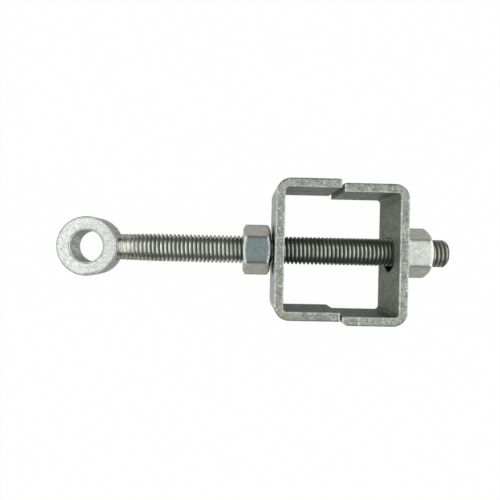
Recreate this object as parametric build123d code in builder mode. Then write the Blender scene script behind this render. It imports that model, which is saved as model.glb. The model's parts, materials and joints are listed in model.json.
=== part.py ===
from build123d import *
from math import radians, tan
import os

# Adjustable gate hinge: an eye bolt carries two folded brackets that two nuts clamp round a square post.
# Millimetres. The origin is the centre of the eye's bore, +X runs along the bolt away from the eye,
# and +Z along the bore, upwards when the hinge hangs a gate.

# Thread of the bolt and nuts, M12 coarse: rings of its pitch and depth on the bolt, plain bores in the nuts
thread_diameter = 12.0
thread_pitch = 1.75
thread_clearance = 0.05  # radial gap between the crests and a nut's bore
rolled_blank_factor = 0.6495  # pitches by which the rolled blank is thinner than the thread
thread_depth_factor = 0.6134  # pitches from crest to root of the bolt's thread
thread_sides = 10  # flat sides of each ring, few enough to keep the thread light

# Eye, forged in one with the shank
eye_bore = 13.5
eye_wall = 5.9  # ring of metal round the bore
eye_shoulder = 1.07  # step from the shank up to each flat face of the eye
eye_edge_break = 0.4  # outer rim of each flat face
bore_edge_break = 0.55  # rim of the bore on each flat face
neck_fillet = 0.55  # where the shank leaves the ring

# Shank
neck_length = 6.0  # plain blank between the ring and the first trace of thread
runout_length = 14.0  # over which the rolled thread grows to its full diameter
tail_overhang = 8.5  # thread left standing behind the tail-side nut

# Brackets, folded from flat bar
bar_width = 30.0
bar_thickness = 3.8
bar_edge_break = 0.45  # softened long edges of the bar
post_width = 50.0
post_clearance = 1.0  # spare width between the arms
arm_length = 27.0  # from the back of the plate to the sheared end
bend_inner_radius = 1.6
bend_spread = 0.8  # by which the outside of a fold is rounder than the bar's thickness gives
shear_rollover = 1.3  # outer corner of a sheared arm end
hole_clearance = 1.25  # radial, between the bolt and a plate's punched hole

# Hexagon nuts
nut_across_flats = 19.0
nut_height = 11.8
nut_face_relief = 0.4  # by which the flat end face is smaller than the inscribed circle
nut_chamfer_angle = 30.0
nut_entry = 0.6  # countersink of the thread at both ends

# Where the pieces stand, as the photograph shows them
clamp_centre = 106.7  # from the bore's centre to the middle of the clamped post
arm_gap = 1.0  # between the ends of facing arms
eye_side_slack = 1.3  # between the eye-side nut and its plate
tail_side_slack = 0.8  # between the tail-side nut and its plate
eye_side_hang = 0.75  # smallest gap between the bolt and the eye-side plate's hole, on its lower side
tail_side_hang = 0.15  # smallest gap between the bolt and the tail-side plate's hole, on its upper side

# Worked out from the sizes above
thread_radius = thread_diameter / 2
neck_radius = (thread_diameter - rolled_blank_factor * thread_pitch) / 2
thread_depth = thread_depth_factor * thread_pitch
eye_radius = eye_bore / 2 + eye_wall
eye_thickness = 2 * (neck_radius + eye_shoulder)
neck_blend = min(neck_fillet, 0.9 * (eye_shoulder - eye_edge_break))
inner_width = post_width + post_clearance
bracket_width = inner_width + 2 * bar_thickness
bend_outer_radius = bend_inner_radius + bar_thickness + bend_spread
hole_radius = thread_radius + hole_clearance
eye_side_back = clamp_centre - arm_gap / 2 - arm_length
tail_side_back = clamp_centre + arm_gap / 2 + arm_length
eye_side_nut_start = eye_side_back - eye_side_slack - nut_height
tail_side_nut_start = tail_side_back + tail_side_slack
bolt_end = tail_side_nut_start + nut_height + tail_overhang
runout_start = eye_radius + neck_length
thread_turns = int((bolt_end - runout_start) // thread_pitch)
thread_start = bolt_end - thread_turns * thread_pitch


def folded_bracket(back):
    """Return a bracket whose plate has its outer face on the plane's y-z plane and its arms along its x."""
    with BuildPart() as bracket:
        # Section of the folded bar, seen along the width of the bar
        with BuildSketch(back.offset(-bar_width / 2)) as fold:
            Rectangle(arm_length, bracket_width, align=(Align.MIN, Align.CENTER))
            with Locations((bar_thickness, 0)):
                Rectangle(arm_length, inner_width, align=(Align.MIN, Align.CENTER), mode=Mode.SUBTRACT)
            inside_corners = fold.vertices().sort_by_distance((bar_thickness, 0))[:2]
            fillet(inside_corners, bend_inner_radius)
            outside_corners = fold.vertices().group_by(Axis.X)[0]
            fillet(outside_corners, bend_outer_radius)
            end_corners = fold.vertices().group_by(Axis.X)[-1].sort_by(Axis.Y)
            fillet([end_corners[0], end_corners[-1]], shear_rollover)
        extrude(amount=bar_width)

        # Broken long edges of the rolled bar
        chamfer(bracket.faces().filter_by(Axis.Z).edges(), bar_edge_break)

        # Punched hole for the bolt
        with Locations(Plane(origin=back.origin, z_dir=-back.x_dir)):
            Hole(hole_radius)
    return bracket


def hexagon_nut(end_face):
    """Return a nut that starts on a plane across the bolt, with a corner along the plane's x."""
    bolt_axis = Axis(end_face.origin, end_face.z_dir)
    side_view = Plane(origin=end_face.origin, x_dir=end_face.z_dir, z_dir=end_face.y_dir)
    face_radius = nut_across_flats / 2 - nut_face_relief
    cone_rise = nut_height / 2 / tan(radians(nut_chamfer_angle))
    with BuildPart() as nut:
        with BuildSketch(end_face):
            RegularPolygon(nut_across_flats / 2, 6, major_radius=False)
        extrude(amount=nut_height)

        # Turned chamfers: the hexagon is kept inside two cones set base to base
        with BuildSketch(side_view):
            with BuildLine():
                Polyline(
                    (0, 0),
                    (0, face_radius),
                    (nut_height / 2, face_radius + cone_rise),
                    (nut_height, face_radius),
                    (nut_height, 0),
                    close=True,
                )
            make_face()
        revolve(axis=bolt_axis, mode=Mode.INTERSECT)

        # Threaded bore at its outer diameter, countersunk at both ends
        with Locations(end_face):
            Hole(thread_radius + thread_clearance)
        end_circles = nut.faces().filter_by(bolt_axis).edges().filter_by(GeomType.CIRCLE)
        chamfer(end_circles.sort_by(SortBy.RADIUS)[:2], nut_entry)
    return nut


# Eye bolt
with BuildPart() as eye_bolt:
    # Ring of the eye
    with BuildSketch(Plane.XY.offset(-eye_thickness / 2)):
        Circle(eye_radius)
    extrude(amount=eye_thickness)

    # Plain neck of the rolled blank
    with BuildSketch(Plane.YZ):
        Circle(neck_radius)
    extrude(amount=thread_start)

    # Forged blend round the neck, the one curved seam that is neither a circle nor a straight line
    uncircular_edges = eye_bolt.edges().filter_by(GeomType.CIRCLE, reverse=True)
    neck_seam = uncircular_edges.filter_by(GeomType.LINE, reverse=True)
    fillet(neck_seam, neck_blend)

    # Bore, and the broken rims of both faces
    Hole(eye_bore / 2)
    face_rims = eye_bolt.faces().filter_by(Axis.Z).edges().sort_by(SortBy.RADIUS)
    chamfer(face_rims[:2], bore_edge_break)
    chamfer(face_rims[2:], eye_edge_break)

    # Rolled thread: a ruled loft through roots and crests in turn, grown along the run-out
    for half_turn in range(2 * thread_turns + 1):
        along = thread_start + half_turn * thread_pitch / 2
        growth = min(1, (along - runout_start) / runout_length)
        crest_radius = neck_radius + (thread_radius - neck_radius) * growth
        groove_depth = thread_depth * growth if half_turn % 2 == 0 else 0
        with BuildSketch(Plane.YZ.offset(along)):
            RegularPolygon(crest_radius - groove_depth, thread_sides)
    loft(ruled=True)

# Brackets: the eye-side one hangs high on the bolt and the tail-side one low, each by the slack in its hole
eye_side_rise = hole_clearance - eye_side_hang
tail_side_drop = hole_clearance - tail_side_hang
eye_side_bracket = folded_bracket(Plane(origin=(eye_side_back, eye_side_rise, 0), x_dir=(1, 0, 0)))
tail_side_bracket = folded_bracket(Plane(origin=(tail_side_back, -tail_side_drop, 0), x_dir=(-1, 0, 0)))

# Nuts: a corner points along Y, so that a flat faces along the bore
eye_side_nut = hexagon_nut(Plane(origin=(eye_side_nut_start, 0, 0), x_dir=(0, 1, 0), z_dir=(1, 0, 0)))
tail_side_nut = hexagon_nut(Plane(origin=(tail_side_nut_start, 0, 0), x_dir=(0, 1, 0), z_dir=(1, 0, 0)))

eye_bolt.part.label = "eye_bolt"
eye_side_bracket.part.label = "eye_side_bracket"
tail_side_bracket.part.label = "tail_side_bracket"
eye_side_nut.part.label = "eye_side_nut"
tail_side_nut.part.label = "tail_side_nut"

os.makedirs("parts", exist_ok=True)
export_step(eye_bolt.part, "parts/eye_bolt.step")
export_step(eye_side_bracket.part, "parts/eye_side_bracket.step")
export_step(tail_side_bracket.part, "parts/tail_side_bracket.step")
export_step(eye_side_nut.part, "parts/eye_side_nut.step")
export_step(tail_side_nut.part, "parts/tail_side_nut.step")
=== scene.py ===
"""Finished look of an adjustable gate hinge: an eye bolt, two folded brackets and two hexagon nuts."""

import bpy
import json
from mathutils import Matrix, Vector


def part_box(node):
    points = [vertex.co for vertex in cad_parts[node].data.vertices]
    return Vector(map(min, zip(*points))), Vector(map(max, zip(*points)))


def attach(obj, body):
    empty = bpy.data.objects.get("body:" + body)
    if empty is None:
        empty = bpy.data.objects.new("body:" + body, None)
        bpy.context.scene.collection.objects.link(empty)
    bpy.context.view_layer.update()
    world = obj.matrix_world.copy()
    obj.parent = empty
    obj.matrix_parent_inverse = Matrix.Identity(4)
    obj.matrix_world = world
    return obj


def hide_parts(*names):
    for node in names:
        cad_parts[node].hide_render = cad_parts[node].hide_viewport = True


bl_info = {
    "name": "Adjustable Gate Hinge",
    "version": (1, 0, 0),
    "blender": (4, 5, 0),
    "location": "View3D > Sidebar > Gate Hinge",
    "description": "Builds the galvanised pieces of an adjustable gate hinge round its packed frame",
    "category": "Object",
}

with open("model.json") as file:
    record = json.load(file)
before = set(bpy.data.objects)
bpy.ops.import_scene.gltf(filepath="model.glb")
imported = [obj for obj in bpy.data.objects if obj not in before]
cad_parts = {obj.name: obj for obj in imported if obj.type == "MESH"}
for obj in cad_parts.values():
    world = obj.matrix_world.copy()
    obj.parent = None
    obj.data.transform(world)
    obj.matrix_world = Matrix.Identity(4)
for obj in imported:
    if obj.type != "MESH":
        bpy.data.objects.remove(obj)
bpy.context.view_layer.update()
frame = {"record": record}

import json
import math

import bmesh
import bpy
import numpy as np
from bpy.props import FloatProperty, FloatVectorProperty, IntProperty, PointerProperty
from mathutils import Euler, Matrix, Vector, noise

MM = 0.001
MERGE_DISTANCE = 0.002 * MM
TINY = 1e-12
WHITE = (1.0, 1.0, 1.0)

# Places and sizes that the frame gives
mounts = {mount["name"]: mount for mount in frame["record"]["mounts"]}
bolt_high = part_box("eye_bolt")[1]
eye_radius = bolt_high.y
eye_half_thickness = bolt_high.z
bolt_end = bolt_high.x - MERGE_DISTANCE
bore_radius = mounts["eye_bore"]["dims"]["r_mm"] * MM
thread_start = bore_radius + 0.4 * (eye_radius - bore_radius)  # of the helix, inside the ring
nut_low, nut_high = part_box("eye_side_nut")
tail_nut_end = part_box("tail_side_nut")[1].x
nut_half_flats = nut_high.z
bracket_low, bracket_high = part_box("eye_side_bracket")
bracket_half_width = (bracket_high.y - bracket_low.y) / 2
bar_half_width = bracket_high.z
arm_length = bracket_high.x - bracket_low.x
floor_height = bracket_low.z


# Settings


def length(name, description, default):
    """Return a property that holds a length in metres."""
    return FloatProperty(
        name=name, description=description, default=default, min=0.0, precision=6, unit="LENGTH"
    )


def lengths(name, description, default, subtype="NONE"):
    """Return a property that holds two or three lengths in metres."""
    return FloatVectorProperty(
        name=name,
        description=description,
        default=default,
        size=len(default),
        precision=6,
        subtype=subtype,
        unit="LENGTH",
    )


def angle(name, description, degrees):
    """Return a property that holds an angle, given in degrees."""
    return FloatProperty(name=name, description=description, default=math.radians(degrees), subtype="ANGLE")


def lens_size(name, description, default):
    """Return a property that holds a size of the camera in millimetres."""
    return FloatProperty(name=name, description=description, default=default, min=1.0, unit="CAMERA")


def factor(name, description, default):
    """Return a property that holds a share of the whole."""
    return FloatProperty(
        name=name, description=description, default=default, min=0.0, max=1.0, subtype="FACTOR"
    )


def number(name, description, default):
    """Return a property that holds a plain number."""
    return FloatProperty(name=name, description=description, default=default, min=0.0)


def steps(name, description, default):
    """Return a property that holds a count of facets."""
    return IntProperty(name=name, description=description, default=default, min=4)


def colour(name, description, default):
    """Return a property that holds a linear colour."""
    return FloatVectorProperty(
        name=name, description=description, default=default, size=3, min=0.0, max=1.0, subtype="COLOR"
    )


class HingeEyeBoltSizes(bpy.types.PropertyGroup):
    """Sizes of the eye bolt and of the thread that the nuts share."""

    pitch: length("Pitch", "Advance of the thread in one turn", 1.75 * MM)
    crest_radius: length("Crest radius", "Radius over the crests of the thread", 6.0 * MM)
    thread_depth: length("Thread depth", "From crest to root", 1.07 * MM)
    neck_radius: length("Neck radius", "Radius of the plain blank next to the eye", 5.43 * MM)
    runout_start: length("Run-out start", "From the bore's centre to the first trace of thread", 7.0 * MM)
    runout_length: length("Run-out length", "Over which the thread grows to full depth", 25.0 * MM)
    tip_chamfer: length("Tip chamfer", "Chamfer at the tail end of the bolt", 1.07 * MM)
    neck_fillet: length("Neck fillet", "Blend where the neck leaves the ring", 0.6 * MM)
    lump_height: length("Zinc lumps", "Height of the uneven zinc on the first turns", 0.2 * MM)
    lump_size: length("Zinc lump size", "Distance across one lump of zinc", 1.1 * MM)
    outer_rim: length("Outer rim", "Rounding of the ring's outer edges", 0.4 * MM)
    bore_rim: length("Bore rim", "Rounding of the bore's edges", 0.6 * MM)
    lap_depth: length("Lap depth", "Depth of the forging lap on the ring's lower rim", 0.35 * MM)
    lap_width: length("Lap width", "Reach of the forging lap in from the ring's outside", 1.0 * MM)
    lap_start: angle("Lap start", "Bearing of the forging lap's deep end", -92)
    lap_end: angle("Lap end", "Bearing of the forging lap's shallow end", -58)
    # Painted shade: a dark line where a face of the eye turns away
    rim_shade_line: length("Rim line", "Width of the dark line where a face of the eye ends", 0.38 * MM)
    turn_steps: steps("Steps a turn", "Facets in one turn of thread", 48)
    flank_steps: steps("Steps a pitch", "Facets across one pitch", 10)


class HingeBracketSizes(bpy.types.PropertyGroup):
    """Sizes of the folded brackets."""

    bar_thickness: length("Bar thickness", "Thickness of the flat bar", 3.8 * MM)
    inner_bend: length("Inner bend radius", "Inside radius of a fold", 1.6 * MM)
    outer_bend: length("Outer bend radius", "Outside radius of a fold", 6.2 * MM)
    edge_round: length("Edge rounding", "Rounding of the bar's long edges", 0.45 * MM)
    eye_side_rollover: lengths("Eye-side rollover", "Rounding, upper arm end first", (1.1 * MM, 0.5 * MM))
    tail_side_rollover: lengths("Tail-side rollover", "Rounding, upper arm end first", (0.5 * MM, 2.6 * MM))
    shear_edge: length("Sheared edge", "Rounding of an arm end's other edges", 0.25 * MM)
    hole_radius: length("Hole radius", "Radius of the punched hole", 7.25 * MM)
    # The nut's painted shadow on the plate reaches this far round the bolt
    seat_radius: length("Seat radius", "Reach of the darkened seat round the bolt", 11.2 * MM)
    hole_lip: length("Hole lip", "Rounding round the mouth of the punched hole", 0.35 * MM)
    grid_step: length("Surface step", "Size of the facets along the bar", 0.7 * MM)
    edge_step: length("Edge step", "Size of the facets across the bar's thickness", 0.2 * MM)
    dent_depth: length("Zinc unevenness", "Depth of the waves that the zinc leaves", 0.07 * MM)


class HingeNutSizes(bpy.types.PropertyGroup):
    """Sizes of the hexagon nuts."""

    face_relief: length("Face relief", "By which the end face is smaller than the flats", 0.4 * MM)
    chamfer_angle: angle("Chamfer angle", "Angle of the turned chamfer", 30)
    edge_round: length("Edge rounding", "Rounding of the nut's edges", 0.16 * MM)
    thread_clearance: length("Thread clearance", "Radial gap between nut and bolt threads", 0.05 * MM)
    thread_entry: length("Thread entry", "Countersink at both ends of the thread", 0.6 * MM)


class HingeFinishes(bpy.types.PropertyGroup):
    """Colours of the zinc, and of the light and shade painted on it."""

    eye_pale: colour("Eye, pale zinc", "Lighter tone of the eye's faces", (0.9, 0.94, 0.89))
    eye_dull: colour("Eye, dull zinc", "Darker tone of the eye's faces", (0.42, 0.43, 0.40))
    eye_wall_pale: colour("Eye, pale wall", "Lighter streaks round the eye's outside", (0.37, 0.365, 0.37))
    eye_wall_dull: colour("Eye, dull wall", "Darker streaks round the eye's outside", (0.20, 0.195, 0.20))
    eye_bore: colour("Eye, bore", "Dulled zinc in the bore", (0.60, 0.62, 0.63))
    eye_bore_tint: colour("Eye, bore tint", "Brownish zinc at the sides of the bore", (0.27, 0.24, 0.21))
    # Painted shade lines where the eye's faces end and along the lap
    eye_shade_line: colour("Eye, rim lines", "Dark lines where the eye's faces end", (0.12, 0.11, 0.10))
    thread_crest: colour("Thread crests", "Zinc on the crests of the thread", (0.53, 0.57, 0.53))
    thread_neck: colour("Thread by the eye", "Thick zinc that fills the first turns", (0.42, 0.435, 0.40))
    thread_groove: colour("Thread grooves", "Dulled zinc in the grooves", (0.26, 0.235, 0.19))
    # Painted shade: crests darker from the eye-side nut on, where the brackets stand
    shaded_crest: colour("Clamp thread crests", "Zinc on the crests between the nuts", (0.35, 0.385, 0.34))
    # Painted shade in the grooves there and in the nuts' threads
    shaded_groove: colour("Clamp thread grooves", "Oily zinc in the grooves there", (0.09, 0.1, 0.08))
    tail_crest: colour("Tail thread crests", "Brownish zinc on the crests at the tail", (0.34, 0.33, 0.30))
    tail_groove: colour("Tail thread grooves", "Brownish zinc in the grooves there", (0.15, 0.14, 0.12))
    thread_grazing: colour("Thread at a slant", "Tint of its reflections at a slant", (0.3, 0.3, 0.27))
    thread_tint: colour("Thread tint", "Brown bloom near the neck", (0.26, 0.17, 0.13))
    bar_pale: colour("Bar, pale zinc", "Lighter tone of the brackets", (0.40, 0.425, 0.37))
    bar_dull: colour("Bar, dull zinc", "Darker tone of the brackets", (0.16, 0.172, 0.142))
    # Bright zinc of spangles and worn edges; along the edges it is also painted highlight
    bar_worn_and_highlight: colour("Bar, worn edges", "Bright zinc along the bar's edges", (0.84, 0.87, 0.82))
    # Painted light: the outer faces' paler tone stands in for the light that falls on them
    bar_outside_light: colour("Bar, outer faces", "Paler, smoother zinc on the outer faces", (0.46, 0.47, 0.45))
    # Painted shade: the inner faces' darker tone stands in for the shade inside the brackets
    bar_inside_shade: colour("Bar, inner faces", "Duller zinc on the inner faces", (0.08, 0.094, 0.068))
    # Painted shadow at the nut's seat and in the hole; the same dark runs along the arms' outer contour
    bar_painted_shadow: colour("Bar, grime", "Oily black at the seat, the hole and the arms", (0.012, 0.013, 0.011))
    bar_stain: colour("Bar, stain", "Yellowish stain in the zinc", (0.38, 0.34, 0.22))
    nut_pale: colour("Nut, pale zinc", "Lighter tone of the nuts", (0.45, 0.445, 0.355))
    # Painted reflection: the level flats' bluish tone stands in for what they reflect from overhead
    nut_level_reflection: colour("Nut, level flats", "Bluish tone of the flats that lie level", (0.42, 0.45, 0.445))
    nut_dull: colour("Nut, dull zinc", "Darker tone of the nuts", (0.235, 0.24, 0.21))
    # Painted shade along the edges between the nuts' flats
    nut_shade_line: colour("Nut, seams", "Dark lines between the nuts' flats", (0.10, 0.10, 0.095))
    # Painted highlight on the nuts' edges, strongest near the level flats
    nut_edge_highlight: colour("Nut, edges", "Bright zinc on the nuts' edges", (0.78, 0.80, 0.76))


class HingeStage(bpy.types.PropertyGroup):
    """Camera, floor and lights."""

    camera_lens: lens_size("Lens", "Focal length in millimetres", 33.4)
    camera_sensor: lens_size("Sensor", "Width of the camera's sensor in millimetres", 36.0)
    camera_distance: length("Camera distance", "From the camera to the bolt's axis", 203.4 * MM)
    camera_target: lengths(
        "Camera target", "Point at the middle of the picture", (69.25 * MM, -0.2 * MM, 0.0), "TRANSLATION"
    )
    camera_turn: FloatVectorProperty(
        name="Camera turn",
        description="Lean of the camera from straight down, and its roll",
        default=(0.0, -0.02, 0.022),
        subtype="EULER",
    )
    panel_strength: number("Panel light", "Radiance of each soft panel", 1.5)
    panel_distance: length("Panel distance", "From each soft panel to the camera's target", 0.8)
    panel_sides: lengths("Panel sides", "Width and length of each soft panel", (0.7, 1.2))
    eye_side_lean: angle("Eye-side lean", "From overhead to the panel on the eye's side", -38)
    tail_side_lean: angle("Tail-side lean", "From overhead to the panel on the tail's side", 40)
    sky_strength: number("Sky light", "Even light from all round", 0.35)
    card_colour: colour("Overhead card", "Colour of the card that level faces reflect", (0.16, 0.33, 0.40))
    card_glow: number("Card glow", "Light that the overhead card gives", 0.8)
    card_height: length("Card height", "From the bolt's axis up to the overhead card", 0.5)
    card_reach: lengths("Card reach", "Half the width and half the length of the overhead card", (0.085, 0.3))
    flag_colour: colour("Side flags", "Colour of the dark cards at both sides", (0.03, 0.03, 0.03))
    flag_reach: length("Flag reach", "From the bolt's axis out to each side flag", 0.35)
    flag_height: length("Flag height", "Height of the side flags", 0.3)
    flag_half_length: length("Flag half length", "Half the length of each side flag", 0.4)
    floor_colour: colour("Floor", "Colour that the floor gives back to the hinge", (0.5, 0.5, 0.5))
    floor_shade: factor("Floor shade", "Share of the floor that takes light and shadow", 0.012)
    floor_reach: length("Floor reach", "Half the width of the floor", 2.0)


# Finishes


class NodeBench:
    """Puts nodes into one tree, sets or links their inputs, and hands back their outputs."""

    COLUMNS, COLUMN_WIDTH, ROW_HEIGHT = 8, 200, 220  # where nodes lie in the editor

    def __init__(self, tree):
        self.tree = tree
        self.count = 0

    def node(self, kind, inputs=None, **settings):
        """Add a node; inputs maps a socket's name or number to a value or to another node's output."""
        node = self.tree.nodes.new(kind)
        row, column = divmod(self.count, self.COLUMNS)
        node.location = (self.COLUMN_WIDTH * column, -self.ROW_HEIGHT * row)
        self.count += 1
        for name, value in settings.items():
            setattr(node, name, value)
        for key, value in (inputs or {}).items():
            self.feed(node.inputs[key], value)
        return node

    def feed(self, socket, value):
        """Link an output to a socket, or set the socket's value; a colour of three values is opaque."""
        if isinstance(value, bpy.types.NodeSocket):
            self.tree.links.new(value, socket)
        else:
            socket.default_value = (*value, 1.0) if socket.type == "RGBA" else value

    def math(self, operation, *values):
        """Return the output of a Math node."""
        return self.node("ShaderNodeMath", dict(enumerate(values)), operation=operation).outputs[0]

    def times(self, first, second):
        """Return the product of two values."""
        return self.math("MULTIPLY", first, second)

    def spread(self, value, low, high, new_low=0.0, new_high=1.0, curve="LINEAR"):
        """Return value carried from one range to another, held at both ends."""
        inputs = {0: value, 1: low, 2: high, 3: new_low, 4: new_high}
        return self.node("ShaderNodeMapRange", inputs, interpolation_type=curve).outputs[0]

    def between(self, share, first, second):
        """Return a value between two others, the first at share 0 and the second at share 1."""
        return self.spread(share, 0.0, 1.0, first, second)

    def axes(self, place):
        """Return the three coordinates of a place."""
        return self.node("ShaderNodeSeparateXYZ", {0: place}).outputs

    def blend(self, share, first, second):
        """Return a colour between two others."""
        inputs = {0: share, 6: first, 7: second}
        return self.node("ShaderNodeMix", inputs, data_type="RGBA").outputs[2]

    def layers(self, base, *layers):
        """Return a colour with others laid over it in turn, each by its share."""
        for share, tone in layers:
            base = self.blend(share, base, tone)
        return base

    def seen(self):
        """Return 1 for what is seen, also in a reflection or through glass, and 0 for soft light."""
        path = self.node("ShaderNodeLightPath").outputs
        direct = self.math("MAXIMUM", path["Is Camera Ray"], path["Is Glossy Ray"])
        return self.math("MAXIMUM", direct, path["Is Transmission Ray"])


def new_material(name):
    """Return a material with a node tree."""
    material = bpy.data.materials.new(name)
    material.use_nodes = True
    return material


class Zinc(NodeBench):
    """A zinc finish under way: its material, its shader and the surface's own coordinates."""

    def __init__(self, name):
        self.material = new_material(name)
        super().__init__(self.material.node_tree)
        self.shader = self.tree.nodes["Principled BSDF"]
        self.place = self.node("ShaderNodeTexCoord").outputs["Object"]

    def mark(self, name):
        """Return the value of a surface mark that was left in the mesh."""
        return self.node("ShaderNodeAttribute", attribute_name=name).outputs["Fac"]

    def grain(self, size, detail=3.0, roughness=0.55, squeeze=(1.0, 1.0, 1.0)):
        """Return soft noise in patches of about a size; a squeezed axis draws them out into streaks."""
        place = self.node("ShaderNodeMapping", {"Vector": self.place, "Scale": squeeze}).outputs[0]
        inputs = {"Vector": place, "Scale": 1.0 / size, "Detail": detail, "Roughness": roughness}
        return self.node("ShaderNodeTexNoise", inputs).outputs[0]

    def mottle(self, patch, speckle, contrast=0.24):
        """Return the cloudy speckle of hot-dip zinc, 0 dull to 1 pale, and its fine grain."""
        cloud_share, fine_share = 0.3, 0.4
        clouds = self.grain(patch, 2.0)
        speckles = self.grain(speckle, 4.0, 0.65)
        fine = self.grain(0.3 * speckle, 2.0)
        coarse = self.math("MULTIPLY_ADD", clouds, cloud_share, self.times(speckles, 1 - cloud_share))
        mottle = self.spread(coarse, 0.5 - contrast / 2, 0.5 + contrast / 2)
        return mottle, self.math("MULTIPLY_ADD", fine, fine_share, self.times(speckles, 1 - fine_share))

    def finished(self, base, roughness, metallic, grain, grain_depth, **more):
        """Feed the shader, raise the grain by its depth, and return the material."""
        bump = self.node("ShaderNodeBump", {"Strength": 1.0, "Distance": grain_depth, "Height": grain})
        inputs = {
            "Base Color": base,
            "Roughness": roughness,
            "Metallic": metallic,
            "Normal": bump.outputs[0],
            **more,
        }
        for name, value in inputs.items():
            self.feed(self.shader.inputs[name], value)
        return self.material


def galvanised_eye(finishes):
    """Pale, fine-grained zinc of the forged eye, with a duller streaked wall and bore, a painted highlight on
    the bore's rims and painted shade lines where its faces end.
    """
    zinc = Zinc("galvanised_eye")
    along, across, _ = zinc.axes(zinc.place)
    mottle, grain = zinc.mottle(patch=1.6 * MM, speckle=0.45 * MM, contrast=0.25)
    streaks = zinc.grain(0.7 * MM, squeeze=(1.0, 1.0, 0.15))
    face = zinc.blend(mottle, finishes.eye_dull, finishes.eye_pale)
    face = zinc.blend(zinc.spread(along, -bore_radius, eye_radius, 0.0, 0.3), face, finishes.eye_dull)
    wall = zinc.blend(zinc.spread(streaks, 0.2, 0.72), finishes.eye_wall_dull, finishes.eye_wall_pale)
    bore_side = zinc.spread(zinc.math("ABSOLUTE", across), 0.35 * bore_radius, 0.85 * bore_radius)
    bore = zinc.layers(
        finishes.eye_bore,
        (bore_side, finishes.eye_bore_tint),
        (zinc.spread(streaks, 0.4, 0.58, 0.75, 0.0), finishes.eye_wall_dull),
    )
    # The bore's rims take the pale tone, a painted highlight
    rim = zinc.mark("bore_rim")
    # Painted shade lines where the faces end and along the lap
    line = zinc.times(zinc.mark("rim_shade_line"), zinc.between(mottle, 0.95, 0.6))
    base = zinc.layers(
        face,
        (zinc.mark("wall"), zinc.blend(zinc.mark("bore"), wall, bore)),
        (rim, finishes.eye_pale),
        (line, finishes.eye_shade_line),
    )
    roughness = zinc.between(mottle, 0.58, 0.42)
    # More metal on the bore's rims, for their painted highlight
    return zinc.finished(base, roughness, zinc.between(rim, 0.25, 0.8), grain, 0.1 * MM)


def galvanised_thread(finishes, sizes):
    """Zinc of the rolled thread: thick and pale by the eye, bright on the crests, dull in the grooves, with
    painted shade where the brackets stand.
    """
    zinc = Zinc("galvanised_thread")
    along, across, _ = zinc.axes(zinc.place)
    mottle, grain = zinc.mottle(patch=6 * MM, speckle=0.7 * MM)

    # Tones along the bolt; darker from the eye-side nut on, painted shade of the brackets
    near_eye = zinc.spread(along, eye_radius, sizes.runout_start + sizes.runout_length, 1.0, 0.0)
    in_bracket_shade = zinc.spread(along, nut_low.x - 8 * MM, nut_high.x)
    at_tail = zinc.spread(along, tail_nut_end - 4 * MM, tail_nut_end)
    crest = zinc.layers(
        finishes.thread_crest,
        (near_eye, finishes.thread_neck),
        (in_bracket_shade, finishes.shaded_crest),
        (at_tail, finishes.tail_crest),
    )
    groove = zinc.layers(
        finishes.thread_groove,
        (in_bracket_shade, finishes.shaded_groove),
        (at_tail, finishes.tail_groove),
    )

    # Dirt in the grooves, painted shade in them between the brackets, handling marks, and a brown bloom under
    # the neck
    in_groove = zinc.spread(zinc.mark("groove"), 0.15, 0.95, curve="SMOOTHSTEP")
    dull_share = zinc.between(near_eye, 1.0, 0.7)
    pale_share = zinc.between(near_eye, 0.8, 0.1)
    groove_dirt_and_shade = zinc.times(in_groove, zinc.between(mottle, dull_share, pale_share))
    handled = zinc.spread(zinc.grain(5 * MM, 2.0), 0.35, 0.62, 0.5, 0.0)
    lower_side = zinc.spread(across, -1.0 * MM, -4.0 * MM)
    bloom = zinc.times(zinc.times(near_eye, lower_side), zinc.spread(mottle, 0.2, 0.9, 0.0, 0.8))
    base = zinc.layers(crest, (zinc.math("MAXIMUM", groove_dirt_and_shade, handled), groove), (bloom, finishes.thread_tint))
    roughness = zinc.math("MAXIMUM", zinc.between(groove_dirt_and_shade, 0.3, 0.6), zinc.times(at_tail, 0.5))
    slant = {"Specular Tint": finishes.thread_grazing}
    return zinc.finished(base, roughness, zinc.between(groove_dirt_and_shade, 0.9, 0.5), grain, 0.05 * MM, **slant)


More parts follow.
